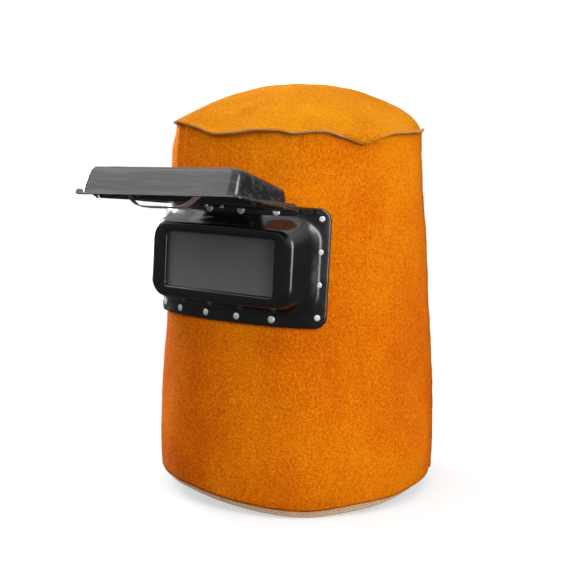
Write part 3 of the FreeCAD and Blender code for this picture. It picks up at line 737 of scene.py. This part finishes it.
def box_rings():
    """The housing's outer face from inside the window to the flange's edge."""
    rings = []

    def add(half, low, high, radius, y, bowed=0.0):
        p = rectangle(half, low, high, radius)
        if bowed:
            p = bow(p, half, bowed)
        y = np.full(len(p), y) if np.isscalar(y) else y
        rings.append(np.stack([p[:, 0], y, p[:, 1]], axis=-1))

    add(49.9, -22.4, 20.9, 4.0, 1.25)
    add(49.9, -22.4, 20.9, 4.0, 0.7)
    add(49.95, -22.45, 20.95, 4.05, 0.36)
    add(50.2, -22.7, 21.2, 4.3, 0.21)
    add(53.6, -24.4, 22.9, 6.0, 0.2, 0.4)
    add(57.0, -26.2, 24.2, 8.5, 0.2, 1.2)
    # crest: wide rounding at the sides, tight above and below
    side = np.abs(np.array([math.cos(math.pi / 2 * (c + arc)) if along == 0 else float(c in (1, 3))
                            for c, arc, along in RING]))
    side = smooth(0.15, 0.95, side)
    add(59.8, -27.4, 25.2, 10.4, 0.25 + 0.15 * side, 1.7)
    add(61.6, -28.2, 25.9, 11.2, 0.75 + 0.75 * side, 1.7)
    add(63.0, -28.8, 26.8, 11.6, 2.0 + 1.4 * side, 1.6)
    crest = 2.0 + 1.4 * side
    for w in (0.22, 0.5, 0.8):
        p = rectangle(63.0 + 2.7 * w**0.7, -28.8 - 2.7 * w, 26.8 + 6.7 * w, 11.6 + 2.3 * w)
        p = bow(p, 65.0, 1.6 * (1 - w))
        root = on_flange(np.interp(p[:, 0], CURVE_X, CURVE_S), p[:, 1], FLANGE_FACE + 1.7)[:, 1]
        rings.append(np.stack([p[:, 0], crest + (root - crest) * w, p[:, 1]], axis=-1))
    for grow, lift in ((0.9, 0.9), (2.6, 0.0)):
        base = rectangle(65.8 + grow, -31.6 - grow, 33.6 + grow, 14.0 + grow)
        s = np.interp(base[:, 0], CURVE_X, CURVE_S)
        rings.append(on_flange(s, base[:, 1], FLANGE_FACE + lift))
    inner = rectangle(68.7, -34.8, 36.8, 15.0)
    inner = np.stack([np.interp(inner[:, 0], CURVE_X, CURVE_S), inner[:, 1]], axis=-1)
    outer = rectangle(79.6, -42.8, 42.1, 8.0)
    for t in (0.35, 0.7, 0.93):
        p = inner + (outer - inner) * t
        rings.append(on_flange(p[:, 0], p[:, 1], FLANGE_FACE))
    rings.append(on_flange(outer[:, 0] * 0.9985, outer[:, 1] * 0.998, FLANGE_FACE - 0.05))
    rings.append(on_flange(outer[:, 0], outer[:, 1], FLANGE_FACE - 0.3))
    return rings


def dent(p, at, radius, depth):
    d = np.linalg.norm(p - np.array(at), axis=-1)
    return np.exp(-(d / radius) ** 2) * depth


def housing():
    rings = np.array(box_rings())
    n = rings.shape[1]
    o = new_object("window_housing", rings.reshape(-1, 3), grid_faces(len(rings), n, True))
    modifier(o, "SUBSURF", levels=2, render_levels=2)
    bake(o)
    co = np.zeros(len(o.data.vertices) * 3)
    o.data.vertices.foreach_get("co", co)
    p = co.reshape(-1, 3) / MM
    normal = np.array([v.normal for v in o.data.vertices])
    wobble = 0.16 * lump(p, 13, 2.0) + 0.05 * lump(p, 5, 4.0)
    wobble *= smooth(1.0, 7.0, p[:, 1])
    push = wobble - dent(p, (64, 14, 4), 3.2, 0.5) - dent(p, (64.5, 15, -14), 2.4, 0.45)
    push = push + dent(p, (63, 10, -22), 4, 0.3)
    p = p + normal * push[:, None]
    o.data.vertices.foreach_set("co", (p * MM).ravel())
    modifier(o, "SOLIDIFY", thickness=1.15 * MM, offset=-1, use_even_offset=False)
    o.data.transform(EYE)
    o.data.materials.clear()
    o.data.materials.append(BLACK)
    o.data.polygons.foreach_set("use_smooth", [True] * len(o.data.polygons))
    return o


LIP_Y = 1.4
LIP_MIDDLE = 2.0  # halfway through the lip's sheet
FACE_NEAR, FACE_FAR, DEPTH_NEAR, DEPTH_FAR = 13.5, 69.8, 12.7, 19.6
FACE_LEAN = math.atan2(DEPTH_FAR - DEPTH_NEAR, FACE_FAR - FACE_NEAR)
FACE_RUN = math.hypot(FACE_FAR - FACE_NEAR, DEPTH_FAR - DEPTH_NEAR)
LIP_BENT = 3.0  # how far the lip beside that corner is bent back up
RACK = 5.4  # how far the worn cover's free corner on the wearer's right hangs down


def rack(p):
    """The slight twist of the cover: none at the hinge or on one side, most at one free corner."""
    p = np.array(p, float)
    away = np.clip((AXIS_Z - p[..., 2]) / 77.0, 0, 1.1)
    p[..., 1] += RACK * np.clip((66 - p[..., 0]) / 138.0, 0, 1.1) * away
    p[..., 1] -= LIP_BENT * np.clip((-66.5 - p[..., 0]) / 5.5, 0, 1.1) * away
    return p


def rack_mesh(o):
    """Twists a mesh that is drawn in the closed cover's frame, then swings it open."""
    co = np.zeros(len(o.data.vertices) * 3)
    o.data.vertices.foreach_get("co", co)
    o.data.vertices.foreach_set("co", (rack(co.reshape(-1, 3) / MM) * MM).ravel())
    o.data.transform(OPEN)
    return o


def on_face():
    """From the cover's face plane (y = 0 at its outside, z along it) to the closed cover."""
    middle = (0, LIP_Y + 0.6 - (DEPTH_NEAR + DEPTH_FAR) / 2, AXIS_Z - (FACE_NEAR + FACE_FAR) / 2)
    return Matrix.Translation(Vector(middle) * MM) @ Matrix.Rotation(-FACE_LEAN, 4, "X")


def plate(name, half, tall, radius, near, far, material, border=0.0):
    """A plate, or a frame of that border width, between two depths behind a face."""
    outer = rectangle(half, -tall, tall, radius)
    loops = [(outer * 0.996, near), (outer, near + 0.12), (outer, far - 0.12), (outer * 0.996, far)]
    if border:
        inner = rectangle(half - border, border - tall, tall - border, max(1.0, radius - border * 0.5))
        loops += [(inner, far), (inner, near)]
    points = [np.stack([p[:, 0], np.full(len(p), y), p[:, 1]], axis=-1) for p, y in loops]
    n = len(outer)
    faces = grid_faces(len(loops), n, True)
    if border:
        end = (len(loops) - 1) * n
        faces += [(end + j, end + (j + 1) % n, (j + 1) % n, j) for j in range(n)]
    else:
        faces += [tuple(range(n))[::-1], tuple((len(loops) - 1) * n + j for j in range(n))]
    o = new_object(name, np.concatenate(points), faces, False)
    o.data.materials.append(material)
    modifier(o, "EDGE_SPLIT", split_angle=math.radians(35))
    return o


def cover_plate(*how):
    o = plate(*how)
    o.data.transform(on_face())
    return rack_mesh(o)


def window_plate(*how):
    o = plate(*how)
    o.data.transform(EYE)
    return o


def tray():
    """The flip-up cover's pressed tray, made closed and then swung open."""
    rings = []

    def add(half, near, far, radius, depth):
        """near and far are distances below the hinge axis."""
        p = rectangle(half, AXIS_Z - far, AXIS_Z - near, radius)
        reach = AXIS_Z - p[:, 1]
        d = np.array([depth(r) for r in reach])
        rings.append(np.stack([p[:, 0], LIP_Y + 0.6 - d, p[:, 1]], axis=-1))

    def face(r):
        return 12.7 + (19.6 - 12.7) * (r - 13.5) / (69.8 - 13.5)

    def part(share, drop=0.0):
        return lambda r: face(r) * share - drop

    add(71.7, 3.2, 76.8, 4.8, lambda r: 0.1)
    add(71.9, 3.1, 76.9, 5.0, lambda r: 0.55)
    add(71.2, 3.8, 76.5, 6.0, lambda r: 0.62)
    add(69.0, 8.6, 75.9, 8.0, lambda r: 0.62)
    add(67.6, 10.0, 75.5, 8.0, lambda r: 0.8)
    add(67.0, 10.7, 74.9, 7.6, lambda r: 2.0)
    add(66.7, 11.2, 74.2, 7.2, part(0.35))
    add(66.0, 12.1, 72.6, 6.8, part(0.68))
    add(65.6, 12.6, 71.7, 6.6, part(0.87))
    add(64.9, 13.3, 70.8, 6.2, part(0.965))
    add(63.6, 14.6, 69.4, 6.0, part(1.0))
    add(58.0, 18.6, 65.0, 6.0, part(1.0, 0.05))
    add(50.6, 19.6, 63.6, 6.4, part(1.0, 0.1))
    add(50.0, 20.1, 63.1, 6.0, part(1.0, 0.5))
    add(50.0, 20.1, 63.1, 6.0, part(1.0, 1.2))
    pts = np.array(rings)
    o = new_object("cover_tray", pts.reshape(-1, 3), grid_faces(len(rings), pts.shape[1], True, flip=True))
    modifier(o, "SUBSURF", levels=2, render_levels=2)
    bake(o)
    co = np.zeros(len(o.data.vertices) * 3)
    o.data.vertices.foreach_get("co", co)
    p = co.reshape(-1, 3) / MM
    normal = np.array([v.normal for v in o.data.vertices])
    wobble = 0.14 * lump(p, 16, 6.0) + 0.05 * lump(p, 6, 3.0)
    p = p + normal * wobble[:, None]
    o.data.vertices.foreach_set("co", (p * MM).ravel())
    modifier(o, "SOLIDIFY", thickness=1.1 * MM, offset=-1, use_even_offset=False)
    rack_mesh(o)
    o.data.materials.clear()
    o.data.materials.append(COVER_BLACK)
    o.data.polygons.foreach_set("use_smooth", [True] * len(o.data.polygons))
    return o


# ---- over-centre springs ----
SPRING_X, SPRING_REACH, HOOK_Y, HOOK_Z = 69.3, 56.0, 24.0, 42.0
WIRE_R, COIL_R, COIL_TURNS, COIL_LENGTH, LOOP_R = 0.5, 1.8, 42, 44.0, 1.9


def tube(line, radius, sides=8):
    """A round wire along a line of points."""
    line = np.array(line, float)
    tangent = np.gradient(line, axis=0)
    tangent /= np.linalg.norm(tangent, axis=1)[:, None]
    points, normal = [], np.cross(tangent[0], [0.3, 0.2, 0.9])
    for p, t in zip(line, tangent):
        normal = normal - t * (normal @ t)
        normal /= np.linalg.norm(normal)
        b = np.cross(t, normal)
        for a in np.linspace(0, 2 * math.pi, sides, endpoint=False):
            points.append(p + (normal * math.cos(a) + b * math.sin(a)) * radius)
    faces = grid_faces(len(line), sides, True)
    faces.append(tuple(range(sides))[::-1])
    faces.append(tuple(len(points) - sides + j for j in range(sides)))
    return points, faces


def over_centre_spring(side):
    hook_a = Vector(rack((side * SPRING_X, 2.0, AXIS_Z - SPRING_REACH))) * MM
    hook_a = np.array(EYE.inverted() @ OPEN @ hook_a) / MM
    hook_b = np.array([side * SPRING_X, HOOK_Y, HOOK_Z])
    along = (hook_b - hook_a) / np.linalg.norm(hook_b - hook_a)
    across = np.array([1.0, 0, 0])
    up = np.cross(along, across)
    up /= np.linalg.norm(up)
    loop_a = hook_a + along * LOOP_R
    loop_b = hook_b - along * LOOP_R
    line = []
    # open ring through the cover's eyelet
    for a in np.linspace(math.radians(60), math.radians(375), 26):
        line.append(loop_a + LOOP_R * (math.cos(a) * along + math.sin(a) * up))
    start = loop_a + along * (LOOP_R + 1.5)
    steps = COIL_TURNS * 14
    for i in range(steps + 1):
        turn = 2 * math.pi * i / 14
        grow = COIL_R * min(1.0, 0.3 + i / 14, 0.2 + (steps - i) / 14)
        around = grow * (math.cos(turn) * up + math.sin(turn) * across)
        line.append(start + along * (COIL_LENGTH * i / steps) + around)
    end = loop_b - along * (LOOP_R + 0.4)
    last = start + along * COIL_LENGTH
    for t in np.linspace(0.08, 1, 20):
        line.append(last + (end - last) * t)
    for a in np.linspace(math.radians(200), math.radians(500), 26):
        line.append(loop_b + LOOP_R * (math.cos(a) * along + math.sin(a) * across))
    points, faces = tube(line, WIRE_R)
    o = new_object("over_centre_spring_" + ("r" if side > 0 else "l"), points, faces)
    o.data.transform(EYE)
    o.data.materials.append(WIRE)
    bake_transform(o)
    return o


# ---- the bowed strip that holds the filter in the cover ----
STRIP_HALF = 54
STRIP_STEPS = 90


def filter_strip():
    """Thin spring strip, bent down between its two feet."""
    # distance from the middle and depth behind the cover's face
    half = [(0, 25.8), (14, 25.6), (20, 24.8), (24, 22.6), (30, 17.8), (37, 11.6), (43, 8.0), (47, 7.1),
            (STRIP_HALF, 7.0)]
    xs = np.concatenate([-np.array([h[0] for h in half[::-1]]), [h[0] for h in half[1:]]])
    ys = np.concatenate([[h[1] for h in half[::-1]], [h[1] for h in half[1:]]])
    line = np.linspace(-STRIP_HALF, STRIP_HALF, STRIP_STEPS)
    depth = through(list(zip(xs, ys)), line)
    rows = []
    z0, z1 = -FACE_RUN / 2 + 3.2, -FACE_RUN / 2 + 9.0
    for z in np.linspace(z0, z1, 5):
        rows.append(np.stack([line, depth, np.full(STRIP_STEPS, z)], axis=-1))
    grid = np.array(rows)
    o = new_object("filter_spring_strip", grid.reshape(-1, 3), grid_faces(5, STRIP_STEPS))
    o.data.transform(on_face())
    rack_mesh(o)
    modifier(o, "SOLIDIFY", thickness=0.6 * MM, offset=0)
    modifier(o, "BEVEL", width=0.12 * MM, segments=2)
    bake(o)
    o.data.materials.clear()
    o.data.materials.append(STRIP)
    return o


def eyelets():
    """Rolled eyelets in the cover's two ears, that the springs hook through."""
    half = [(0.95, -0.7), (1.3, -0.9), (2.0, -0.86), (2.25, -0.62), (1.5, -0.58)]
    profile = half + [(r, -y) for r, y in half[::-1]]
    points, faces = [], []
    n = 24
    for side in (-1, 1):
        start = len(points)
        hole = AXIS_Z - SPRING_REACH
        for r, y in profile:
            for a in np.linspace(0, 2 * math.pi, n, endpoint=False):
                points.append((side * SPRING_X + r * math.cos(a), LIP_MIDDLE + y, hole + r * math.sin(a)))
        faces += grid_faces(len(profile), n, True, start)
        end = start + (len(profile) - 1) * n
        faces += [(end + j, end + (j + 1) % n, start + (j + 1) % n, start + j) for j in range(n)]
    o = new_object("cover_eyelets", points, faces)
    o.data.materials.append(DULL)
    return rack_mesh(o)


# ---- build ----
def settle(o, body, slot, *nodes):
    if body:
        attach(o, body)
    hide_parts(*nodes)
    return o


PANE = (53.7, 25.3)  # half width and half height of a window plate
front = settle(front_panel(), HOOD, "front_leather", "front_panel")
crown = settle(crown_back(), HOOD, "back_leather", "crown_back_panel")
tape = settle(hem_tape(), HOOD, "hem_tape", "hem_binding")
for thread in (hem_stitches(), back_stitches()):
    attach(thread, HOOD)
settle(housing(), HOOD, "black_sheet", "lens_housing")
settle(tray(), COVER, "cover_black", "flip_shell")
for side, word in ((-1, "left"), (1, "right")):
    settle(over_centre_spring(side), None, "coil_steel", "over_centre_spring_" + word)
settle(window_plate("window_gasket_ring", *PANE, 6.0, 1.45, 2.0, RUBBER, 2.6),
       HOOD, "gasket_rubber", "window_gasket")
settle(window_plate("window_clear_pane", *PANE, 1.0, 2.02, 3.0, CLEAR),
       HOOD, "clear_glass", "window_clear_glass")
settle(window_plate("window_tinted_pane", *PANE, 1.0, 3.02, 6.2, TINTED),
       HOOD, "tinted_glass", "window_tinted_glass")
settle(cover_plate("cover_gasket", 53.8, 25.3, 7.0, 1.2, 2.0, RUBBER, 5.0),
       COVER, "gasket_rubber", "flip_gasket")
settle(cover_plate("cover_clear_glass", *PANE, 1.0, 2.02, 3.6, CLEAR),
       COVER, "clear_glass", "flip_clear_glass")
settle(cover_plate("cover_filter_glass", *PANE, 1.0, 3.62, 6.6, FILTER),
       COVER, "dark_glass", "flip_dark_filter")
settle(eyelets(), COVER, "post_steel", "flip_spring_eyelets")
strip = settle(filter_strip(), COVER, "spring_strip", "flip_glass_spring")
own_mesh(strip)

FINISH = {
    "backing_frame": SATIN, "flange_rivets": NICKEL, "rivet_washers": DULL, "window_glass_springs": STRIP,
    "window_spring_lugs": DULL, "hinge_leaf_fixed": SATIN, "hinge_pin": DULL, "housing_spring_tabs": DULL,
    "flip_spring_lugs": DULL, "hinge_leaf_moving": SATIN, "flip_hinge_rivets": NICKEL,
}
for name, material in FINISH.items():
    mesh = NODES[name].data
    mesh.materials.clear()
    mesh.materials.append(material)


# ---- floor, light and camera ----
AZIMUTH = math.radians(34.0)
PITCH = math.radians(9.8)
AWAY = 1.0016  # from the hood's axis, measured along the ground
CAMERA_Y_SHIFT = -0.0122
CAMERA_Z = 0.3292
LENS_MM = 80.36
SENSOR_MM = 36.0
FLOOR_HALF = 9
FLOOR_DROP = 0.0002  # keeps the floor clear of the hem
WORLD_STRENGTH = 1.4


def camera():
    data = bpy.data.cameras.new("camera")
    data.sensor_width, data.lens = SENSOR_MM, LENS_MM
    data.clip_start, data.clip_end = 0.05, 30
    o = bpy.data.objects.new("camera", data)
    o.location = (AWAY * math.sin(AZIMUTH), -AWAY * math.cos(AZIMUTH) + CAMERA_Y_SHIFT, CAMERA_Z)
    o.rotation_euler = (math.pi / 2 - PITCH, 0, AZIMUTH)
    bpy.context.scene.collection.objects.link(o)
    bpy.context.scene.camera = o


def floor():
    mesh = bpy.data.meshes.new("floor")
    h = FLOOR_HALF
    mesh.from_pydata([(-h, -h, 0), (h, -h, 0), (h, h, 0), (-h, h, 0)], [], [(0, 1, 2, 3)])
    o = bpy.data.objects.new("floor", mesh)
    o.location.z = -FLOOR_DROP
    s = Shader("studio_floor", roughness=0.9, specular_ior_level=0.1)
    s.set("Base Color", s.mix(s.noise(3, 2.0), linear(243, 243, 243), linear(247, 247, 247)))
    away = s.node("VectorMath", [(0, s.coords)], operation="LENGTH").outputs["Value"]
    fade = s.ramp(away, [(0.1, 0.55), (0.24, 1.0)])
    glow = s.node("Emission", [("Color", (1, 1, 1, 1)), ("Strength", 1.0)]).outputs[0]
    dim = s.node("Emission", [("Color", (0.1, 0.1, 0.1, 1)), ("Strength", 1.0)]).outputs[0]
    path = s.node("LightPath").outputs
    direct = s.math("MULTIPLY", fade, path["Is Camera Ray"])
    lit = s.node("MixShader", [(0, direct), (1, s.p.outputs[0]), (2, glow)])
    seen = s.node("MixShader", [(0, path["Is Camera Ray"]), (1, dim), (2, lit.outputs[0])])
    s.t.links.new(seen.outputs[0], s.t.nodes["Material Output"].inputs[0])
    mesh.materials.append(s.m)
    bpy.context.scene.collection.objects.link(o)


def area(name, place, aim, size, power, tall=None):
    data = bpy.data.lights.new(name, "AREA")
    data.shape, data.size, data.size_y = "RECTANGLE", size, tall or size
    data.energy = power
    o = bpy.data.objects.new(name, data)
    o.location = place
    o.rotation_euler = (Vector(aim) - Vector(place)).to_track_quat("-Z", "Y").to_euler()
    bpy.context.scene.collection.objects.link(o)
    return o


def world():
    w = bpy.data.worlds.new("studio")
    bpy.context.scene.world = w
    w.use_nodes = True
    t = w.node_tree
    back = t.nodes["Background"]
    coords = t.nodes.new("ShaderNodeTexCoord")
    split = t.nodes.new("ShaderNodeSeparateXYZ")
    t.links.new(coords.outputs["Generated"], split.inputs[0])
    ramp = t.nodes.new("ShaderNodeValToRGB")
    low, high = ramp.color_ramp.elements
    low.position, low.color = 0.08, (0.12, 0.12, 0.122, 1)
    high.position, high.color = 0.85, (0.95, 0.95, 0.95, 1)
    t.links.new(split.outputs["Z"], ramp.inputs[0])
    path = t.nodes.new("ShaderNodeLightPath")
    mix = t.nodes.new("ShaderNodeMix")
    mix.data_type = "RGBA"
    t.links.new(path.outputs["Is Camera Ray"], mix.inputs[0])
    t.links.new(ramp.outputs[0], mix.inputs[6])
    mix.inputs[7].default_value = (1.0, 1.0, 1.0, 1)
    t.links.new(mix.outputs[2], back.inputs["Color"])
    back.inputs["Strength"].default_value = WORLD_STRENGTH


camera()
floor()
world()
AIM = (0.0, -0.02, 0.19)
area("key", (1.45, -0.45, 0.55), AIM, 0.45, 14.5, 1.1)
area("front_left_box", (-0.95, -1.0, 1.3), AIM, 1.7, 10.5, 1.3)
area("top", (0.15, 0.2, 1.7), AIM, 1.3, 2)
area("left_rim", (-1.2, 0.35, 0.35), AIM, 0.35, 18, 1.1)
bpy.context.scene.view_settings.view_transform = "Standard"
